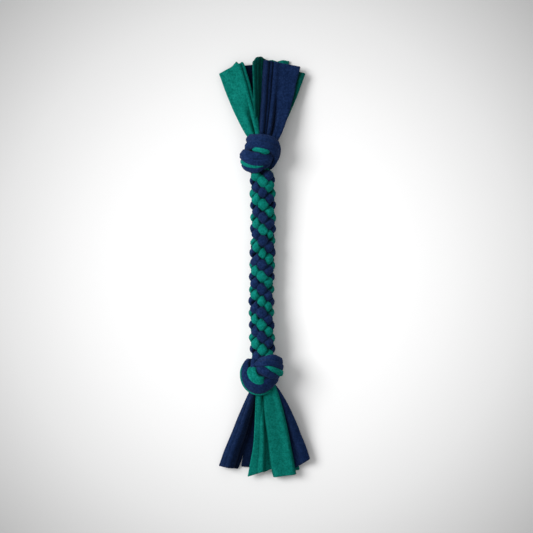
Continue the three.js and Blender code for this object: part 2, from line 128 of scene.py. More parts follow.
# Overhand knots. Each end has its side of the toy, its bundle, which is the room across that the eight
# gathered strips take, and the place along the toy and the height of the knot's middle, in millimetres. Its
# route has control points of the bundle's middle line, in bundles, from the braid to the tassel. The other
# rows start with the number of the control point that they are for: the way that the flattened bundle faces,
# how wide it is spread, and for each strip its lane. A lane says how far sideways the strip lies in the
# bundle, from the tassel's side to the braid's side, how far outwards, and half its width, as shares of the
# spread bundle.
# Places of the strips in the mouth: 0 to 3 on top from right to left, 4 to 7 below from left to right.
KNOT_ENTRY = (
    (0.0, -1.6, 0.0),
    (0.0, -1.3, -0.01),
    (-0.03, -0.95, -0.08),
    (-0.16, -0.5, -0.26),
    (-0.32, -0.02, -0.52),
)
KNOT_EXIT = (
    (0.08, 0.6, 0.16),
    (0.0, 1.05, 0.15),
    (0.0, 1.45, 0.15),
)
ENDS = {
    "lower": {
        "side": -1,
        "bundle": 13.8,
        "centre": -99.19,
        "height": 19.13,
        "seed": 20.0,
        "places": ("navy_4", "green_1", "green_3", "navy_1", "navy_3", "green_2", "green_4", "navy_2"),
        "route": KNOT_ENTRY + (
            (-0.58, 0.3, -0.72),
            (-0.8, 0.42, -0.32),
            (-0.72, 0.5, 0.3),
            (-0.42, 0.74, 0.75),
            (0.08, 0.97, 0.95),
            (0.6, 0.78, 0.98),
            (0.92, 0.26, 0.95),
            (0.92, -0.46, 0.6),
            (0.56, -1.1, 0.15),
            (0.2, -0.85, -0.95),
            (-0.55, -0.6, -1.15),
            (-1.08, -0.22, -0.75),
            (-1.16, -0.04, 0.1),
            (-0.98, -0.3, 0.82),
            (-0.46, -0.56, 1.22),
            (0.02, -0.5, 1.12),
            (0.36, -0.52, 0.4),
            (0.28, 0.06, 0.24),
        ) + KNOT_EXIT,
        "facing": (
            (0, 0.0, 0.0, -1.0),
            (4, -0.5, 0.0, -0.8),
            (6, -1.0, 0.3, -0.2),
            (7.5, -0.4, 0.4, 0.9),
            (9, 0.0, 0.4, 1.0),
            (10, 0.3, 0.3, 1.0),
            (11, 0.5, 0.0, 1.0),
            (12, 0.6, -0.3, 0.8),
            (13, 1.0, -0.4, 0.0),
            (14, 0.3, -0.2, -1.0),
            (15, -0.4, -0.1, -1.0),
            (16, -1.0, 0.0, -0.5),
            (17, -1.0, 0.0, 0.2),
            (18, -0.6, 0.0, 0.8),
            (19, -0.1, 0.0, 1.0),
            (20, 0.3, 0.0, 1.0),
            (21, 1.0, 0.0, 0.5),
            (23, 0.3, 0.0, 1.0),
            (25, 0.0, 0.0, 1.0),
        ),
        "spread": (
            (0, 0.55), (4, 0.8), (7, 0.8), (10, 0.88), (12, 0.78), (13, 0.7), (15, 0.9), (17, 0.86),
            (18, 0.9), (19, 0.88), (20, 0.76), (21, 0.55), (23, 0.6), (25, 0.7),
        ),
        "lanes": {
            "green_4": (
                (9.5, -0.59, -0.15, 0.16), (11.5, -0.59, -0.13, 0.13), (12.2, -0.52, -0.12, 0.09),
                (13, -0.45, -0.2, 0.09), (17, -0.4, -0.25, 0.25),
            ),
            "navy_4": (
                (7.8, 0.08, 0.16, 0.5), (9.5, -0.1, 0.12, 0.5), (11.3, -0.2, 0.1, 0.38),
                (12.4, -0.26, 0.04, 0.26), (13.3, -0.3, -0.6, 0.26), (17, -0.45, -0.2, 0.26),
                (18.4, -0.6, 0.02, 0.3), (20, -0.46, 0.04, 0.42),
            ),
            "green_1": (
                (8, 0.3, -0.25, 0.3), (9.3, 0.34, 0.1, 0.3), (11.2, 0.24, 0.1, 0.3), (12.1, 0.1, -0.8, 0.3),
                (17, -0.2, 0.1, 0.26), (18.5, -0.2, 0.1, 0.24), (19.8, -0.04, -0.06, 0.1),
            ),
            "green_3": (
                (8, 0.4, -0.3, 0.24), (9.4, 0.52, 0.0, 0.27), (11.2, 0.48, 0.0, 0.27),
                (12.1, 0.3, -0.85, 0.27), (17, 0.1, -0.25, 0.3),
            ),
            "navy_1": (
                (11, 0.5, -0.25, 0.25), (13, 0.2, -0.3, 0.25), (17, 0.22, 0.12, 0.28),
                (18.6, 0.22, 0.12, 0.28), (19.8, 0.14, 0.1, 0.28),
            ),
            "navy_3": (
                (12, -0.1, -0.35, 0.3), (17, 0.62, 0.04, 0.28), (18.6, 0.6, 0.02, 0.26),
                (19.7, 0.38, -0.25, 0.18),
            ),
            "navy_2": ((12, 0.2, -0.4, 0.3), (17, 0.4, -0.25, 0.3)),
            "green_2": ((12, 0.2, -0.5, 0.3), (17, -0.1, -0.3, 0.3)),
        },
    },
    "upper": {
        "side": 1,
        "bundle": 12.0,
        "centre": 109.1,
        "height": 16.45,
        "seed": 80.0,
        "places": ("navy_3", "navy_2", "green_4", "green_1", "navy_4", "navy_1", "green_3", "green_2"),
        "route": KNOT_ENTRY + (
            (-0.58, 0.42, -0.72),
            (-0.88, 0.7, -0.32),
            (-0.9, 0.78, 0.4),
            (-0.62, 0.74, 1.06),
            (0.0, 0.72, 1.26),
            (0.62, 0.64, 1.15),
            (1.02, 0.3, 0.72),
            (1.08, -0.34, 0.22),
            (0.72, -0.95, -0.3),
            (0.2, -1.05, -1.0),
            (-0.52, -0.86, -1.15),
            (-1.14, -0.46, -0.72),
            (-1.36, -0.32, 0.1),
            (-1.16, -0.54, 0.78),
            (-0.5, -0.88, 1.12),
            (0.22, -0.72, 1.12),
            (0.8, -0.34, 0.62),
            (0.4, 0.06, 0.2),
        ) + KNOT_EXIT,
        "facing": (
            (0, 0.0, 0.0, -1.0),
            (4, -0.5, 0.0, -0.8),
            (6, -1.0, 0.2, -0.2),
            (7, -1.0, 0.2, 0.4),
            (8, -0.5, 0.2, 0.9),
            (9, 0.0, 0.2, 1.0),
            (10, 0.5, 0.1, 0.9),
            (11, 0.8, 0.0, 0.6),
            (12, 1.0, -0.2, 0.4),
            (13, 0.9, -0.3, 0.3),
            (13.6, 0.8, -0.3, -0.4),
            (14.4, 0.3, -0.2, -1.0),
            (15, -0.4, -0.1, -1.0),
            (16, -1.0, 0.0, -0.5),
            (17, -1.0, -0.1, 0.2),
            (18, -0.7, -0.2, 0.7),
            (19, -0.2, -0.2, 1.0),
            (20, 0.3, -0.1, 1.0),
            (21, 1.0, 0.0, 0.4),
            (23, 0.3, 0.0, 1.0),
            (25, 0.0, 0.0, 1.0),
        ),
        "spread": (
            (0, 0.55), (4, 0.9), (7, 0.95), (11, 0.95), (12, 0.8), (13, 0.7), (15, 1.0), (18, 1.0),
            (19, 0.95), (20, 0.8), (21, 0.5), (23, 0.6), (25, 0.7),
        ),
        "lanes": {
            "navy_2": (
                (12, -0.3, 0.1, 0.34), (17, -0.3, 0.02, 0.3), (18.4, -0.44, 0.08, 0.3),
                (19.2, -0.52, 0.08, 0.33), (20.2, -0.3, 0.08, 0.34),
            ),
            "navy_3": (
                (6.8, 0.46, 0.1, 0.36), (8.2, 0.2, 0.14, 0.36), (10, 0.24, 0.14, 0.36),
                (12, 0.18, 0.14, 0.36), (17, -0.12, 0.14, 0.31), (20, 0.12, 0.12, 0.36),
            ),
            "green_2": (
                (7.5, 0.3, -0.3, 0.2), (8.6, 0.54, 0.02, 0.24), (9.6, 0.66, 0.02, 0.24),
                (10.5, 0.4, -0.3, 0.2), (15, 0.2, -0.3, 0.2), (17, 0.28, 0.12, 0.22), (19, 0.3, 0.1, 0.2),
                (20.5, 0.24, -0.1, 0.16),
            ),
            "navy_1": (
                (12, 0.5, -0.3, 0.25), (17, 0.62, 0.06, 0.3), (19, 0.6, 0.04, 0.3), (20.2, 0.2, -0.2, 0.25),
            ),
            "green_3": ((12, -0.2, -0.3, 0.2), (13, -0.1, -0.1, 0.12), (17, -0.2, -0.3, 0.26)),
            "green_4": ((12, -0.1, -0.3, 0.2), (13, 0.0, -0.1, 0.12), (17, -0.15, -0.28, 0.3)),
            "green_1": ((12, 0.1, -0.3, 0.2), (13, 0.1, -0.1, 0.12), (17, 0.2, -0.28, 0.3)),
            "navy_4": ((12, 0.3, -0.32, 0.3), (17, 0.5, -0.25, 0.3)),
        },
    },
}
# Lanes: half their thickness in bundles, how far the outer ones turn outwards, and a factor on their widths
LANE_THICKNESS = 0.31
LANE_FAN = 1.0
LANE_WIDENING = 1.12
# Steps along a knot, samples of its curve, steps over which its facing is smoothed, and its gap to the floor
KNOT_STEPS = 210
CURVE_SAMPLES = 1200
FACING_WINDOW = 15
KNOT_FLOOR_GAP = 0.5
KNOT_STRAND = {
    "Sides": 28,
    "Squareness": 0.9,
    "Crease Depth": 2.2 * MM,
    "Crease Length": 34 * MM,
    "Creases Around": 2.0,
}
KNOT_SEED_STEP = 2.3

# Tails by place, in millimetres: corners of the cut tip, where the edges start inside the mouth, how each
# edge bows out (less than 1 is early), how much higher the root lies, then folds across the strip as (share
# of its width, place between the edges, height at the root, height at the tip, reach past the line between
# the corners)
FLEECE_THICKNESS = 2.3
LOW_SWELL = ((0, 0, 0, 0, 0), (0.5, 0.5, 1, 0.4, 0), (1, 1, 0, 0, 0))
TAILS = {
    "upper": (
        ((10.9, 195.3), (35.2, 190.3), (1.0, 7.0), (0.45, 0.55), 1.0, (
            (0, 0, 2, 3, 0), (0.12, 0.12, 6, 5, 0), (0.28, 0.26, -4, 3.6, 0), (0.6, 0.6, 3, 4, 0),
            (1, 1, 3, 5, 0))),
        ((2.6, 196.3), (9.7, 195.3), (-2.5, 2.5), (1.0, 0.9), 0.0, (
            (0, 0, 2, 4, 0), (0.2, 0.36, 7, 7.5, 0.3), (0.4, 0.66, 0, 1, 0), (0.6, 1, 4, 5, 0.4),
            (1, 0.2, -4, -2, 0))),
        ((-8.2, 194.5), (3.0, 196.5), (-4.5, -0.5), (0.6, 1.0), -4.0, (
            (0, 0, 4, 8, 0.6), (0.25, 0.3, 1, 5, 4.2), (0.5, 0.6, -2, 1.5, 4.4), (0.8, 1, -5, -1.5, 1.5),
            (1, 0.7, -8, -3, 1))),
        ((-39.7, 183.6), (-17.5, 193.3), (-3.2, -1.5), (0.7, 1.6), 1.5, (
            (0, 0, 0, 2, 0.6), (0.42, 0.42, 2.5, 3.6, 1.2), (0.6, 0.62, -3.8, 4.6, 2.0),
            (0.66, 0.7, -5, 4.8, 4.6), (0.8, 0.81, 3.5, 5.4, 1.4), (0.87, 0.88, 2.5, 1.4, 1.8),
            (0.95, 0.95, 1.5, 2.4, 2.2), (1, 1, 0.5, 1.8, 0.2))),
        ((-37.0, 184.5), (-17.3, 192.0), (-4.0, 0.0), (0.9, 1.2), 0.0, (
            (0, 0, 0, 0, 0), (0.35, 0.35, 1, 1, 0), (0.7, 0.7, 0, 0, 0), (1, 1, 0.5, 0.5, 0))),
        ((-22.9, 190.7), (-4.4, 193.1), (-4.0, 1.0), (0.9, 0.9), 0.0, (
            (0, 0, 0, 0, 0), (0.36, 0.36, 1.5, 2.5, 0), (0.85, 0.85, 0, 0, 0), (1, 1, 0, 0, 0))),
        ((4.9, 196.5), (24.9, 196.3), (-1.0, 5.0), (0.85, 0.85), 0.0, (
            (0, 0, 0, 0, 0), (0.25, 0.25, 1, 1.5, 0.5), (0.5, 0.5, 0, 0, -0.8), (0.75, 0.75, 1, 1.5, 0.5),
            (1, 1, 0, 0, 0))),
        ((20.0, 190.3), (40.6, 184.1), (1.0, 7.5), (0.7, 0.8), 0.0, (
            (0, 0, 0, 0, 0), (0.5, 0.5, 1, 2, 0), (1, 1, 0, 6, 0))),
    ),
    "lower": (
        ((26.8, -193.5), (44.8, -182.1), (-2.0, 5.5), (0.8, 0.66), 0.0, (
            (0, 0, 0, 0, 0), (0.5, 0.5, 2, 1.5, 0), (0.8, 0.8, 5, 5, 0), (1, 1, 4, 4, 0))),
        ((11.6, -199.2), (31.5, -196.4), (2.5, 8.0), (2.4, 0.65), 2.0, (
            (0, 0, 3, 1, 0), (0.15, 0.12, 6, 4, 0), (0.5, 0.5, 5.5, 3.5, 0), (0.88, 0.92, 6, 6, 0),
            (1, 1, 5, 4, 0))),
        ((-12.4, -198.4), (8.7, -191.6), (-5.0, 3.5), (3.0, 1.5), 1.0, (
            (0, 0, 5, 3, 0), (0.3, 0.36, 6, 3, 0), (0.54, 0.6, 3, 8, -0.6), (0.66, 0.7, -3, 3, 0.5),
            (1, 1, -4, 0, 0))),
        ((-39.7, -188.8), (-23.4, -191.4), (-4.0, -2.5), (0.85, 1.5), 1.0, (
            (0, 0, 1, 0, 0), (0.25, 0.22, 4, 3.5, 0), (0.45, 0.45, 8, 6.5, 0), (0.6, 0.62, 4, 4, 0),
            (0.8, 0.84, -4, -1, 0), (1, 1, -7, -2.4, 0))),
        ((-18.2, -189.4), (0.8, -190.7), (-5.0, 0.0), (0.95, 0.95), 0.0, (
            (0, 0, 0, 0, 0), (0.5, 0.5, 1, 0.6, 0), (1, 1, 0, 0, 0))),
        ((-10.0, -187.0), (9.0, -187.0), (-4.0, 4.0), (0.95, 0.95), 0.0, LOW_SWELL),
        ((13.5, -195.6), (34.9, -192.6), (0.0, 6.0), (0.8, 0.7), 0.0, LOW_SWELL),
        ((24.0, -187.0), (43.0, -179.0), (0.0, 5.0), (0.75, 0.68), 0.0, LOW_SWELL),
    ),
}
# Painted shade on each tail, at its left and right edge: low values paint a tail dark where it lies in the
# shade of the tails around it, high values leave it lit
PAINTED_TAIL_SHADE = {
    "upper": (
        (0.72, 0.72), (0.68, 0.5), (0.2, 0.14), (0.84, 0.84),
        (0.5, 0.5), (0.08, 0.08), (0.6, 0.6), (0.15, 0.2),
    ),
    "lower": (
        (0.4, 0.64), (0.72, 0.7), (0.74, 0.7), (0.76, 0.1),
        (0.2, 0.4), (0.7, 0.7), (0.7, 0.7), (0.5, 0.5),
    ),
}
# The tails on top and the ones below: how far the root lies from the mouth's middle, how high the tip lies,
# how deep the gathers at the root are, and how much the strip waves up and down
TOP_PLACES = 4
TAIL_LAYERS = {
    "top": {"root": 2.6, "tip": 4.4, "gather": 0.4, "wave": 0.5},
    "below": {"root": -2.6, "tip": FLEECE_THICKNESS / 2 + 0.2, "gather": 2.0, "wave": 0.2},
}
TAIL_ROOT_DEPTH = 13.0
TAIL_STEPS = 64
TAIL_POINTS = 41
TAIL_FLOOR_GAP = 0.15
DROOP = 1.6
# Shares of a tail's length: where the gathers end, where the folds reach their height at the root, and
# where they start to turn into those at the tip and over how much they do. Then the gathers across a tail,
# and how far they shift from tail to tail.
GATHERED_SHARE = 0.55
FOLDED_SHARE = 0.25
TURN_START = 0.15
TURN_SHARE = 0.55
GATHERS = 2.3
GATHER_SHIFT = 0.37
# Slow waves of the cloth: how far they go sideways, their noise's steps to a millimetre, and how far apart
# the tails lie in it
WAVE_SIDEWAYS = 0.6
WAVE_SCALE = 0.06
WAVE_STEP = 7.3
# Rounded edges of a tail: angles round its sides, then shrink and push, in half thicknesses, of the rings
# at its tip
EDGE_ANGLES = (45, 0, -45)
TIP_RINGS = ((0.85, 0.5), (0.45, 0.85))
# Painted shade in the tails' valleys and painted highlight on their cut edges: points across that a height
# is compared with, depth of a valley that is quite dark, the most that it darkens, and how much lighter the
# cut edges are
VALLEY_WINDOW = 15
VALLEY_DEPTH = 3.5
VALLEY_SHADE = 0.6
EDGE_LIGHT = 0.25


def lerp(a, b, t):
    return a + (b - a) * t


def ease(t):
    t = np.clip(t, 0, 1)
    return t * t * (3 - 2 * t)


# Fleece: a dense short pile, cloudy where it is brushed, with fine bumps
TUFTS_IN_COLOUR = 0.78
FIBRES_IN_BUMPS = 0.35
DARK_STOP = 0.38
MIDDLE_STOP = 0.5
LIGHT_STOP = 0.64
# Painted shade and highlight: the colour is multiplied by a share between these two, read from the stored
# painted shade
DARKEST_PAINTED_SHADE = 0.16
LIGHTEST_PAINTED_SHADE = 1.04
ROUGHNESS = (0.86, 1.0)
GLOSS = 0.02
SHEEN = 0.1
SHEEN_ROUGHNESS = 0.5
BUMP_STRENGTH = 0.7
BUMP_HEIGHT = 0.0014


def fleece(name, dark, mid, light, sheen_tint):
    material = bpy.data.materials.new(name)
    material.use_nodes = True
    nodes = material.node_tree.nodes
    links = material.node_tree.links
    shader = nodes["Principled BSDF"]
    shader.inputs["Sheen Weight"].default_value = SHEEN
    shader.inputs["Sheen Roughness"].default_value = SHEEN_ROUGHNESS
    shader.inputs["Sheen Tint"].default_value = (*sheen_tint, 1)
    shader.inputs["Specular IOR Level"].default_value = GLOSS
    place = nodes.new("ShaderNodeTexCoord")

    def cloud(scale, detail, roughness):
        texture = nodes.new("ShaderNodeTexNoise")
        texture.inputs["Scale"].default_value = scale
        texture.inputs["Detail"].default_value = detail
        texture.inputs["Roughness"].default_value = roughness
        links.new(place.outputs["Object"], texture.inputs["Vector"])
        return texture.outputs["Fac"]

    def mixed(first, second, share):
        mix = nodes.new("ShaderNodeMix")
        mix.data_type = "FLOAT"
        mix.inputs["Factor"].default_value = share
        links.new(first, mix.inputs["A"])
        links.new(second, mix.inputs["B"])
        return mix.outputs["Result"]

    def ranged(value, low, high):
        scale = nodes.new("ShaderNodeMapRange")
        scale.inputs["To Min"].default_value = low
        scale.inputs["To Max"].default_value = high
        links.new(value, scale.inputs["Value"])
        return scale.outputs["Result"]

    brushed = cloud(scale=140, detail=3, roughness=0.55)
    tufts = cloud(scale=560, detail=5, roughness=0.8)
    fibres = cloud(scale=2600, detail=2, roughness=0.6)
    ramp = nodes.new("ShaderNodeValToRGB")
    ramp.color_ramp.elements[0].position = DARK_STOP
    ramp.color_ramp.elements[0].color = (*dark, 1)
    ramp.color_ramp.elements[1].position = LIGHT_STOP
    ramp.color_ramp.elements[1].color = (*light, 1)
    middle = ramp.color_ramp.elements.new(MIDDLE_STOP)
    middle.color = (*mid, 1)
    links.new(mixed(brushed, tufts, TUFTS_IN_COLOUR), ramp.inputs["Fac"])
    # Painted shade and highlight from the strands and tails darken or lighten the colour
    painted_shade_attribute = nodes.new("ShaderNodeAttribute")
    painted_shade_attribute.attribute_name = "painted_shade"
    shade = ranged(painted_shade_attribute.outputs["Fac"], DARKEST_PAINTED_SHADE, LIGHTEST_PAINTED_SHADE)
    shaded = nodes.new("ShaderNodeMix")
    shaded.data_type = "RGBA"
    shaded.blend_type = "MULTIPLY"
    shaded.inputs["Factor"].default_value = 1.0
    links.new(ramp.outputs["Color"], shaded.inputs["A"])
    links.new(shade, shaded.inputs["B"])
    links.new(shaded.outputs["Result"], shader.inputs["Base Color"])
    links.new(ranged(tufts, *ROUGHNESS), shader.inputs["Roughness"])
    bump = nodes.new("ShaderNodeBump")
    bump.inputs["Strength"].default_value = BUMP_STRENGTH
    bump.inputs["Distance"].default_value = BUMP_HEIGHT
    links.new(mixed(tufts, fibres, FIBRES_IN_BUMPS), bump.inputs["Height"])
    links.new(bump.outputs["Normal"], shader.inputs["Normal"])
    return material


FLEECE = {
    "green": fleece(
        "green_fleece",
        dark=(0.001, 0.105, 0.082),
        mid=(0.0027, 0.168, 0.136),
        light=(0.008, 0.236, 0.195),
        sheen_tint=(0.05, 0.8, 0.7),
    ),
    "navy": fleece(
        "navy_fleece",
        dark=(0.003, 0.011, 0.042),
        mid=(0.0065, 0.0192, 0.0695),
        light=(0.014, 0.0347, 0.11),
        sheen_tint=(0.3, 0.45, 0.9),
    ),
}


# Strand: a tube with a soft flattened section along a path. The path's points carry the way out of the
# braid or bundle, half the width and half the thickness there, the distance along the strip, and how lit its
# colour is painted, low values giving painted shade. The tube is swept plain and round first, and its points
# are then moved to their places.
PLAIN_TUBE_RADIUS = 0.003
NOISE_MIDDLE = 0.5
# Painted shade round the tube, from -1 on its inner side to 1 on its outer side: the colour is painted dark
# up to the first place and lit from the second, which shades the sides where strands meet
DARK_UP_TO = -0.25
LIGHT_FROM = 0.8


def build_strand_tree():
    tree = bpy.data.node_groups.new("fleece_strand", "GeometryNodeTree")
    face = tree.interface
    face.new_socket("Path", in_out="INPUT", socket_type="NodeSocketGeometry")
    wanted = (
        ("Sides", "NodeSocketInt"),
        ("Squareness", "NodeSocketFloat"),
        ("Crease Depth", "NodeSocketFloat"),
        ("Crease Length", "NodeSocketFloat"),
        ("Creases Around", "NodeSocketFloat"),
        ("Seed", "NodeSocketFloat"),
        ("Fleece", "NodeSocketMaterial"),
    )
    keys = {}
    for name, kind in wanted:
        keys[name] = face.new_socket(name, in_out="INPUT", socket_type=kind).identifier
    face.new_socket("Strand", in_out="OUTPUT", socket_type="NodeSocketGeometry")
    nodes = tree.nodes
    links = tree.links
    given = nodes.new("NodeGroupInput")

    def math_node(operation, a, b=None):
        node = nodes.new("ShaderNodeMath")
        node.operation = operation
        for socket, value in zip(node.inputs, (a, b)):
            if value is None:
                continue
            if isinstance(value, (int, float)):
                socket.default_value = value
            else:
                links.new(value, socket)
        return node.outputs["Value"]

    def vector_node(operation, a, b=None, scale=None):
        node = nodes.new("ShaderNodeVectorMath")
        node.operation = operation
        links.new(a, node.inputs[0])
        if b is not None:
            links.new(b, node.inputs[1])
        if scale is not None:
            links.new(scale, node.inputs["Scale"])
        return node.outputs["Vector"]

    def stored(name, kind):
        node = nodes.new("GeometryNodeInputNamedAttribute")
        node.data_type = kind
        node.inputs["Name"].default_value = name
        return node.outputs["Attribute"]

    path = nodes.new("GeometryNodeMeshToCurve")
    links.new(given.outputs["Path"], path.inputs["Mesh"])
    along = nodes.new("GeometryNodeCaptureAttribute")
    links.new(path.outputs["Curve"], along.inputs["Geometry"])
    kept = (
        ("VECTOR", "Centre", nodes.new("GeometryNodeInputPosition").outputs["Position"]),
        ("VECTOR", "Tangent", nodes.new("GeometryNodeInputTangent").outputs["Tangent"]),
        ("VECTOR", "Outward", stored("outward", "FLOAT_VECTOR")),
        ("FLOAT", "Half Width", stored("half_width", "FLOAT")),
        ("FLOAT", "Half Thickness", stored("half_thickness", "FLOAT")),
        ("FLOAT", "Run", stored("run", "FLOAT")),
        ("FLOAT", "Lift", stored("lift", "FLOAT")),
    )
    for kind, name, source in kept:
        along.capture_items.new(kind, name)
        links.new(source, along.inputs[name])
    circle = nodes.new("GeometryNodeCurvePrimitiveCircle")
    links.new(given.outputs["Sides"], circle.inputs["Resolution"])
    circle.inputs["Radius"].default_value = 1.0
    around = nodes.new("GeometryNodeCaptureAttribute")
    links.new(circle.outputs["Curve"], around.inputs["Geometry"])
    around.capture_items.new("VECTOR", "Spot")
    links.new(nodes.new("GeometryNodeInputPosition").outputs["Position"], around.inputs["Spot"])
    sweep = nodes.new("GeometryNodeCurveToMesh")
    links.new(along.outputs["Geometry"], sweep.inputs["Curve"])
    links.new(around.outputs["Geometry"], sweep.inputs["Profile Curve"])
    sweep.inputs["Scale"].default_value = PLAIN_TUBE_RADIUS
    sweep.inputs["Fill Caps"].default_value = True

    spot = nodes.new("ShaderNodeSeparateXYZ")
    links.new(around.outputs["Spot"], spot.inputs["Vector"])

    def squared(value):
        size = math_node("POWER", math_node("ABSOLUTE", value), given.outputs["Squareness"])
        return math_node("MULTIPLY", math_node("SIGN", value), size)

    crosswise = vector_node("SCALE", around.outputs["Spot"], scale=given.outputs["Creases Around"])
    lengthwise = nodes.new("ShaderNodeCombineXYZ")
    creases_along = math_node("DIVIDE", along.outputs["Run"], given.outputs["Crease Length"])
    links.new(creases_along, lengthwise.inputs["Z"])
    crease = nodes.new("ShaderNodeTexNoise")
    crease.noise_dimensions = "4D"
    crease.inputs["Scale"].default_value = 1.0
    crease.inputs["Detail"].default_value = 2.0
    crease_spot = vector_node("ADD", crosswise, lengthwise.outputs["Vector"])
    links.new(crease_spot, crease.inputs["Vector"])
    links.new(given.outputs["Seed"], crease.inputs["W"])
    off_middle = math_node("SUBTRACT", crease.outputs["Fac"], NOISE_MIDDLE)
    depth = math_node("MULTIPLY", off_middle, given.outputs["Crease Depth"])
    half_thickness = math_node("ADD", along.outputs["Half Thickness"], depth)
    half_width = math_node("ADD", along.outputs["Half Width"], depth)
    out = math_node("MULTIPLY", squared(spot.outputs["Y"]), half_thickness)
    wide = math_node("MULTIPLY", squared(spot.outputs["X"]), half_width)
    crossing = vector_node("CROSS_PRODUCT", along.outputs["Tangent"], along.outputs["Outward"])
    sideways = vector_node("NORMALIZE", crossing)
    raised = vector_node("SCALE", along.outputs["Outward"], scale=out)
    across = vector_node("SCALE", sideways, scale=wide)
    off_centre = vector_node("ADD", raised, across)
    moved = nodes.new("GeometryNodeSetPosition")
    links.new(sweep.outputs["Mesh"], moved.inputs["Geometry"])
    links.new(vector_node("ADD", along.outputs["Centre"], off_centre), moved.inputs["Position"])
    # Painted shade: the inner side of each strand, and any part of it that lies under others, is stored
    # darker
    top = nodes.new("ShaderNodeMapRange")
    top.interpolation_type = "SMOOTHSTEP"
    top.inputs["From Min"].default_value = DARK_UP_TO
    top.inputs["From Max"].default_value = LIGHT_FROM
    links.new(spot.outputs["Y"], top.inputs["Value"])
    painted_shade = nodes.new("GeometryNodeStoreNamedAttribute")
    painted_shade.inputs["Name"].default_value = "painted_shade"
    links.new(moved.outputs["Geometry"], painted_shade.inputs["Geometry"])
    links.new(math_node("MULTIPLY", top.outputs["Result"], along.outputs["Lift"]), painted_shade.inputs["Value"])
    smooth = nodes.new("GeometryNodeSetShadeSmooth")
    links.new(painted_shade.outputs["Geometry"], smooth.inputs["Geometry"])
    real = nodes.new("GeometryNodeRealizeInstances")
    links.new(smooth.outputs["Geometry"], real.inputs["Geometry"])
    clad = nodes.new("GeometryNodeSetMaterial")
    links.new(real.outputs["Geometry"], clad.inputs["Geometry"])
    links.new(given.outputs["Fleece"], clad.inputs["Material"])
    done = nodes.new("NodeGroupOutput")
    links.new(clad.outputs["Geometry"], done.inputs["Strand"])
    return tree, keys


STRAND_TREE, STRAND_KEYS = build_strand_tree()


def place_mesh(name, mesh):
    piece = bpy.data.objects.new(name, mesh)
    bpy.context.scene.collection.objects.link(piece)
    return piece


def strand(name, colour, centres, outward, half_width, half_thickness, run, lift, settings):
    """Sweeps one strip of fleece along its path into a plain mesh. Lengths are in millimetres."""
    mesh = bpy.data.meshes.new(name + "_path")
    mesh.from_pydata([tuple(c * MM) for c in centres], [(i, i + 1) for i in range(len(centres) - 1)], [])
    carried = mesh.attributes.new("outward", "FLOAT_VECTOR", "POINT")
    carried.data.foreach_set("vector", np.asarray(outward, np.float32).ravel())
    for key, values in (("half_width", half_width), ("half_thickness", half_thickness), ("run", run)):
        carried = mesh.attributes.new(key, "FLOAT", "POINT")
        carried.data.foreach_set("value", (np.asarray(values) * MM).astype(np.float32))
    carried = mesh.attributes.new("lift", "FLOAT", "POINT")
    carried.data.foreach_set("value", np.asarray(lift, np.float32))
    holder = place_mesh(name + "_path", mesh)
    modifier = holder.modifiers.new("strand", "NODES")
    modifier.node_group = STRAND_TREE
    for key, value in settings.items():
        modifier[STRAND_KEYS[key]] = value
    modifier[STRAND_KEYS["Fleece"]] = FLEECE[colour]
    holder.update_tag()
    graph = bpy.context.evaluated_depsgraph_get()
    made = bpy.data.meshes.new_from_object(holder.evaluated_get(graph))
    holder.modifiers.remove(modifier)
    bpy.data.objects.remove(holder)
    bpy.data.meshes.remove(mesh)
    made.name = name
    for face in made.polygons:
        is_cap = len(face.vertices) > 4
        if is_cap:
            face.use_smooth = False
    return place_mesh(name, made)


# Braid
def braid_height(y):
    along = 2 * (y - BRAID_START) / (BRAID_END - BRAID_START) - 1
    rise = ease((abs(along) - LYING_SHARE) / (1 - LYING_SHARE))
    return lerp(LYING_HEIGHT, ENDS["lower" if along < 0 else "upper"]["height"], rise)


def braid_angle(hand, quarter, phase):
    lag = (LINGER / math.pi) * math.sin(math.pi * phase)
    return math.pi / 2 + quarter * math.pi / 2 + hand * CROSSING_ANGLE * (phase + hand * lag)


def braid_narrowing(y):
    """Share by which the braid is narrower where it goes into a knot."""
    share, length, lead = NARROWING["lower" if y < 0 else "upper"]
    inside = BRAID_START - y if y < 0 else y - BRAID_END
    return share * ease((inside + lead) / length)


def uneven(number, y, kind):
    """Handmade unevenness along a strand, from about -1 to 1."""
    return UNEVEN_REACH * noise.noise(Vector((y / UNEVEN_LENGTH, STRIP_STEP * number, KIND_STEP * kind)))


def braid_point(number, hand, quarter, y):
    """Centre of a strand, the way out of the braid there, and how far outside it lies, from -1 to 1."""
    phase = (y - FIRST_CROSSING) / ROW + UNEVEN_PLACE * uneven(number, y, 0)
    outside = -hand * math.cos(math.pi * phase)
    angle = braid_angle(hand, quarter, phase)
    away = np.array((math.cos(angle), 0.0, math.sin(angle)))
    radius = (MIDDLE_RADIUS + SWING * outside) * (1 - braid_narrowing(y))
    wander = WANDER * math.sin(2 * math.pi * (y - WANDER_CENTRE) / WANDER_LENGTH)
    return np.array((BRAID_OFFSET + wander, y, braid_height(y))) + radius * away, away, outside


def upright_to(tangents, away):
    """The outward directions, made square to the path."""
    flat = away - tangents * np.sum(away * tangents, axis=1, keepdims=True)
    return flat / np.linalg.norm(flat, axis=1, keepdims=True)


def tangents_of(points):
    step = np.gradient(points, axis=0)
    return step / np.linalg.norm(step, axis=1, keepdims=True)


def distance_along(points):
    return np.concatenate(([0], np.cumsum(np.linalg.norm(np.diff(points, axis=0), axis=1))))


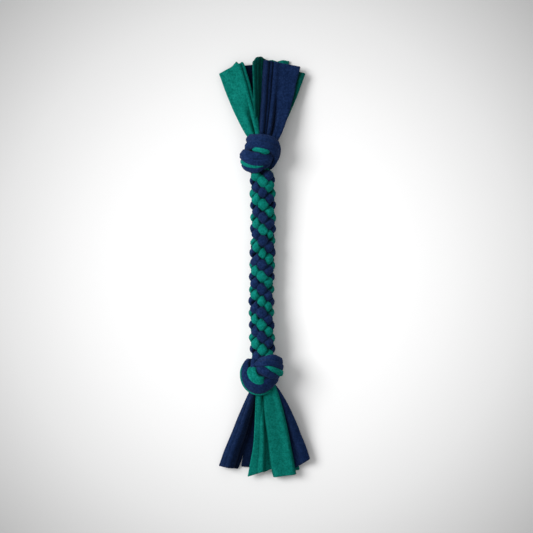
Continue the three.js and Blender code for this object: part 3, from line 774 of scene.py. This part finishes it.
# Parts of the braid: name, ends, the two bodies and the start and end of a bend between them, which nothing
# here uses to bend them, and the runs that they replace
FOLD_START = BRAID_MIDDLE - FOLD_ZONE
FOLD_END = BRAID_MIDDLE + FOLD_ZONE
BRAID_PARTS = (
    ("lower", (BRAID_START - INTO_LOWER_KNOT, FOLD_START), ("lower_braid", "lower_knot"), LOWER_BEND,
     ("lower_braid",)),
    ("middle", (FOLD_START, FOLD_END), ("lower_braid", "upper_braid"), (FOLD_START, FOLD_END),
     ("lower_braid", "upper_braid")),
    ("upper", (FOLD_END, BRAID_END + INTO_UPPER_KNOT), ("upper_braid", "upper_knot"), UPPER_BEND,
     ("upper_braid",)),
)
STEP = ROW / STEPS_IN_ROW

for number, (strip, (colour, hand, quarter)) in enumerate(STRIPS.items()):
    for part, (from_y, to_y), (body_a, body_b), (blend_from, blend_to), runs in BRAID_PARTS:
        count = round((to_y - from_y) / STEP)
        levels = np.linspace(from_y, to_y, count + 1)
        spots = [braid_point(number, hand, quarter, y) for y in levels]
        centres = np.array([s[0] for s in spots])
        outside = np.array([(s[2] + 1) / 2 for s in spots])
        fullness = np.interp(levels, FULLNESS_PLACES, FULLNESS[colour])
        plump = fullness * np.array([1 + UNEVEN_WIDTH * uneven(number, y, 1) for y in levels])
        away = upright_to(tangents_of(centres), np.array([s[1] for s in spots]))
        # The strand's last share paints it in shade where it lies under its neighbours
        piece = strand(
            f"{strip}_{part}_braid_strand", colour, centres, away,
            lerp(INNER_WIDTH, OUTER_WIDTH, outside) / 2 * plump,
            lerp(INNER_THICKNESS, OUTER_THICKNESS, outside) / 2 * np.sqrt(fullness),
            levels * STRAND_PER_BRAID, np.clip((outside - UNDER_SHARE) / UNDER_FADE, 0, 1),
            BRAID_STRAND | {"Seed": BRAID_SEED_STEP * number},
        )
        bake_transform(piece)
        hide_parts(*(f"{strip}_{node}" for node in runs))


# Knots
DEGREE = 3
JUST_BEFORE_END = 1e-9


def spline(points, count):
    """Even points on the clamped cubic curve of some control points, and the control point each is at."""
    points = np.asarray(points, float)
    spans = len(points) - DEGREE
    knots = np.concatenate((np.zeros(DEGREE), np.arange(spans + 1), np.full(DEGREE, spans)))
    at = np.linspace(0, spans - JUST_BEFORE_END, CURVE_SAMPLES)
    samples = []
    for u in at:
        k = int(u) + DEGREE
        work = [points[j + k - DEGREE].copy() for j in range(DEGREE + 1)]
        for r in range(1, DEGREE + 1):
            for j in range(DEGREE, r - 1, -1):
                low = knots[j + k - DEGREE]
                share = (u - low) / (knots[j + 1 + k - r] - low)
                work[j] = (1 - share) * work[j - 1] + share * work[j]
        samples.append(work[DEGREE])
    samples = np.array(samples)
    reach = distance_along(samples)
    even = np.linspace(0, reach[-1], count)
    placed = np.stack([np.interp(even, reach, samples[:, k]) for k in range(3)], axis=1)
    return placed, np.interp(even, reach, at) + 1


def eased_rows(rows, at):
    """Values between rows that each start with a place, eased from row to row."""
    rows = np.asarray(rows, float)
    span = np.clip(np.searchsorted(rows[:, 0], at, side="right") - 1, 0, len(rows) - 2)
    share = ease((at - rows[span, 0]) / (rows[span + 1, 0] - rows[span, 0]))[:, None]
    return rows[span, 1:] * (1 - share) + rows[span + 1, 1:] * share


def bundle_frames(end):
    """Middle line of the bundle, its control points' numbers, the way it faces and the way across it."""
    side = end["side"]
    turn = np.array((side, side, 1.0))
    control = np.array(end["route"]) * end["bundle"] * turn + np.array((0.0, end["centre"], end["height"]))
    points, at = spline(control, KNOT_STEPS + 1)
    tangents = tangents_of(points)
    window = np.hanning(FACING_WINDOW)
    window = window / window.sum()
    beside = FACING_WINDOW // 2
    padded = np.pad(eased_rows(end["facing"], at) * turn, ((beside, beside), (0, 0)), mode="edge")
    facing = np.stack([np.convolve(padded[:, k], window, mode="valid") for k in range(3)], axis=1)
    facing = upright_to(tangents, facing)
    return points, at, facing, np.cross(tangents, facing)


for name, end in ENDS.items():
    points, at, facing, sideways = bundle_frames(end)
    bundle = end["bundle"]
    spread = eased_rows(end["spread"], at)[:, 0]
    run = distance_along(points)
    for number, (strip, rows) in enumerate(end["lanes"].items()):
        colour = STRIPS[strip][0]
        across, out, half_width = eased_rows(rows, at).T * bundle * spread
        half_thickness = LANE_THICKNESS * bundle * np.sqrt(spread)
        centres = points + sideways * across[:, None] + facing * out[:, None]
        centres[:, 2] = np.maximum(centres[:, 2], half_thickness + KNOT_FLOOR_GAP)
        away = facing + sideways * (LANE_FAN * across / bundle)[:, None]
        # Knot strands are all given full light, so only the painted shade on their inner sides darkens the
        # seams
        piece = strand(
            f"{strip}_{name}_knot_strand", colour, centres, upright_to(tangents_of(centres), away),
            half_width * LANE_WIDENING, half_thickness, run, np.ones(len(run)),
            KNOT_STRAND | {"Seed": end["seed"] + KNOT_SEED_STEP * number},
        )
        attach(piece, f"{name}_knot")
        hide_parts(f"{strip}_{name}_knot")


# Tails: flat strips of fleece, gathered at the root and folded along their length
def fold_curve(folds):
    """Even shares of the strip's width, with place between the edges, root and tip height, and reach."""
    rows = np.asarray(folds, float)
    shares = np.linspace(0, 1, TAIL_POINTS)
    low, high, reach = eased_rows(rows, shares).T[1:]
    return shares, np.interp(shares, rows[:, 0], rows[:, 1]), low, high, reach


def tail_surface(end, place, tail):
    """Middle surface of a tail as rows of points from its root to its tip."""
    left, right, root, bow, lift, folds = tail
    side = end["side"]
    layer = TAIL_LAYERS["top" if place < TOP_PLACES else "below"]
    mouth = np.array(end["route"][-1]) * end["bundle"]
    root_y = end["centre"] + side * (mouth[1] - TAIL_ROOT_DEPTH)
    root_z = end["height"] + mouth[2] + layer["root"] + lift
    lowest = FLEECE_THICKNESS / 2 + TAIL_FLOOR_GAP
    across = list(zip(*fold_curve(folds)))
    rows = []
    for t in np.linspace(0, 1, TAIL_STEPS + 1):
        edge_left = lerp(root[0], left[0], t ** bow[0])
        edge_right = lerp(root[1], right[0], t ** bow[1])
        level = lerp(layer["tip"], root_z, (1 - t) ** DROOP)
        gather = layer["gather"] * (1 - ease(t / GATHERED_SHARE))
        turned = ease((t - TURN_START) / TURN_SHARE)
        folded = ease(t / FOLDED_SHARE)
        row = []
        for share, u, low, high, reach in across:
            x = lerp(edge_left, edge_right, u)
            y = lerp(root_y, lerp(left[1], right[1], u) + side * reach, t)
            z = level + lerp(low, high, turned) * folded
            z += gather * math.sin(2 * math.pi * (GATHERS * share + GATHER_SHIFT * place))
            drift = noise.noise(Vector((x * WAVE_SCALE, y * WAVE_SCALE, place * WAVE_STEP + side)))
            row.append((x + WAVE_SIDEWAYS * drift * t, y, max(z + layer["wave"] * drift * t, lowest)))
        rows.append(row)
    return np.array(rows)


def tail_painted_shade(rows, tail_shade):
    """Painted shade and edge highlight round each ring of a tail, in the order of the ring's points."""
    beside = VALLEY_WINDOW // 2
    heights = np.pad(rows[:, :, 2], ((0, 0), (beside, beside)), mode="edge")
    window = np.full(VALLEY_WINDOW, 1 / VALLEY_WINDOW)
    around = np.stack([np.convolve(row, window, mode="valid") for row in heights])
    valley = np.clip((around - rows[:, :, 2]) / VALLEY_DEPTH, 0, VALLEY_SHADE)
    painted_shade = np.linspace(*tail_shade, TAIL_POINTS) - valley
    painted_shade = np.concatenate((painted_shade, *(painted_shade[-1:] for _ in TIP_RINGS)))
    left, right = (
        np.repeat(np.minimum(edge + EDGE_LIGHT, 1), len(EDGE_ANGLES), axis=1)
        for edge in (painted_shade[:, :1], painted_shade[:, -1:])
    )
    return np.concatenate((painted_shade, right, painted_shade[:, ::-1], left), axis=1)


def thick_sheet(name, rows, colour, tail_shade):
    """Gives a surface its thickness, with rounded edges all round."""
    along = np.gradient(rows, axis=0)
    across = np.gradient(rows, axis=1)
    normal = np.cross(across, along)
    normal = normal / np.linalg.norm(normal, axis=2, keepdims=True)
    if normal[-1, :, 2].mean() < 0:
        normal = -normal
    half = FLEECE_THICKNESS / 2
    outwards = across / np.linalg.norm(across, axis=2, keepdims=True)
    forwards = along / np.linalg.norm(along, axis=2, keepdims=True)
    angles = [math.radians(angle) for angle in EDGE_ANGLES]

    def ring(i, shrink, push):
        row = rows[i] + forwards[i] * push
        up = normal[i] * half * shrink
        right = outwards[i][-1] * half * shrink
        left = outwards[i][0] * half * shrink
        points = list(row + up)
        points += [row[-1] + right * math.cos(a) + up[-1] * math.sin(a) for a in angles]
        points += list((row - up)[::-1])
        points += [row[0] - left * math.cos(a) - up[0] * math.sin(a) for a in angles]
        return points

    rings = [ring(i, 1.0, 0.0) for i in range(len(rows))]
    rings += [ring(len(rows) - 1, shrink, half * push) for shrink, push in TIP_RINGS]
    sides = len(rings[0])
    faces = []
    for i in range(len(rings) - 1):
        for k in range(sides):
            a = i * sides + k
            b = i * sides + (k + 1) % sides
            faces.append((a, b, b + sides, a + sides))
    last = (len(rings) - 1) * sides
    faces.append(tuple(range(sides - 1, -1, -1)))
    faces.append(tuple(range(last, last + sides)))
    mesh = bpy.data.meshes.new(name)
    mesh.from_pydata([tuple(np.asarray(p) * MM) for r in rings for p in r], [], faces)
    # Painted shade in valleys and painted highlight on the cut edges, stored for the fleece
    carried = mesh.attributes.new("painted_shade", "FLOAT", "POINT")
    carried.data.foreach_set("value", tail_painted_shade(rows, tail_shade).astype(np.float32).ravel())
    mesh.materials.append(FLEECE[colour])
    mesh.polygons.foreach_set("use_smooth", [True] * len(mesh.polygons))
    mesh.update()
    return mesh


def signed_volume(mesh):
    mesh.calc_loop_triangles()
    total = 0.0
    for triangle in mesh.loop_triangles:
        a, b, c = (mesh.vertices[v].co for v in triangle.vertices)
        total += a.dot(b.cross(c))
    return total


for name, end in ENDS.items():
    for place, (strip, tail, tail_shade) in enumerate(zip(end["places"], TAILS[name], PAINTED_TAIL_SHADE[name])):
        colour = STRIPS[strip][0]
        rows = tail_surface(end, place, tail)
        mesh = thick_sheet(f"{strip}_{name}_tail_sheet", rows, colour, tail_shade)
        if signed_volume(mesh) < 0:
            mesh.flip_normals()
        piece = place_mesh(mesh.name, mesh)
        body = f"{strip}_{name}_tail"
        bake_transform(piece)
        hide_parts(body)


# Floor, light and camera, in metres. The floor's colour is a painted pool of light, going from near to a
# darker far shade between two distances from its middle, by way of the stops between. Sun lamps are name,
# place, spread in degrees and strength.
FLOOR_HALF = 3.0
FLOOR_LEVEL = -0.0004
FLOOR_FADE = (0.1, 0.4)
FLOOR_NEAR = 0.945
FLOOR_FAR = 0.327
FLOOR_BETWEEN = ((0.27, 0.823), (0.5, 0.695))
SKY_STRENGTH = 0.264
LAMPS = (
    ("key", (-0.95, 0.36, 1.0), 32, 2.75),
    ("fill", (-0.3, 0.1, 1.0), 110, 0.9),
)
PICTURE_PIXELS = 533
MM_PER_PIXEL = 0.95
PICTURE_CENTRE = (4.5 * MM, 0.8 * MM)
CAMERA_HEIGHT = 2.4
CAMERA_REACH = 20
# The height above the floor at which the picture has its millimetres to a pixel
SCALE_HEIGHT = 0.015
# The camera's sensor, and so its lens, in millimetres
SENSOR_WIDTH = 36


def grey(shade):
    return (shade, shade, shade, 1)


def build_floor():
    mesh = bpy.data.meshes.new("floor")
    corners = ((-1, -1), (1, -1), (1, 1), (-1, 1))
    spots = [(x * FLOOR_HALF, y * FLOOR_HALF, FLOOR_LEVEL) for x, y in corners]
    mesh.from_pydata(spots, [], [(0, 1, 2, 3)])
    material = bpy.data.materials.new("pale_floor")
    material.use_nodes = True
    nodes = material.node_tree.nodes
    links = material.node_tree.links
    shader = nodes["Principled BSDF"]
    shader.inputs["Roughness"].default_value = 1.0
    shader.inputs["Specular IOR Level"].default_value = 0.0
    place = nodes.new("ShaderNodeTexCoord")
    far = nodes.new("ShaderNodeVectorMath")
    far.operation = "LENGTH"
    links.new(place.outputs["Object"], far.inputs[0])
    fade = nodes.new("ShaderNodeMapRange")
    fade.inputs["From Min"].default_value = FLOOR_FADE[0]
    fade.inputs["From Max"].default_value = FLOOR_FADE[1]
    links.new(far.outputs["Value"], fade.inputs["Value"])
    # Painted pool of light: the floor is painted lighter in its middle and darker towards its edges
    ramp = nodes.new("ShaderNodeValToRGB")
    ramp.color_ramp.elements[0].color = grey(FLOOR_NEAR)
    ramp.color_ramp.elements[1].color = grey(FLOOR_FAR)
    for stop, shade in FLOOR_BETWEEN:
        ramp.color_ramp.elements.new(stop).color = grey(shade)
    links.new(fade.outputs["Result"], ramp.inputs["Fac"])
    links.new(ramp.outputs["Color"], shader.inputs["Base Color"])
    mesh.materials.append(material)
    place_mesh("floor", mesh)


def build_light():
    world = bpy.data.worlds.new("studio")
    world.use_nodes = True
    sky = world.node_tree.nodes["Background"]
    sky.inputs["Color"].default_value = grey(1)
    sky.inputs["Strength"].default_value = SKY_STRENGTH
    bpy.context.scene.world = world
    for name, place, spread, energy in LAMPS:
        lamp = bpy.data.lights.new(name, "SUN")
        lamp.angle = math.radians(spread)
        lamp.energy = energy
        softbox = bpy.data.objects.new(name, lamp)
        softbox.location = place
        softbox.rotation_euler = (-softbox.location).to_track_quat("-Z", "Y").to_euler()
        bpy.context.scene.collection.objects.link(softbox)


def build_camera():
    camera = bpy.data.cameras.new("camera")
    camera.sensor_width = SENSOR_WIDTH
    view_width = PICTURE_PIXELS * MM_PER_PIXEL * MM
    camera.lens = SENSOR_WIDTH * (CAMERA_HEIGHT - SCALE_HEIGHT) / view_width
    camera.clip_end = CAMERA_REACH
    holder = bpy.data.objects.new("camera", camera)
    holder.location = (*PICTURE_CENTRE, CAMERA_HEIGHT)
    bpy.context.scene.collection.objects.link(holder)
    bpy.context.scene.camera = holder


build_floor()
build_light()
build_camera()
bpy.context.scene.view_settings.view_transform = "Standard"
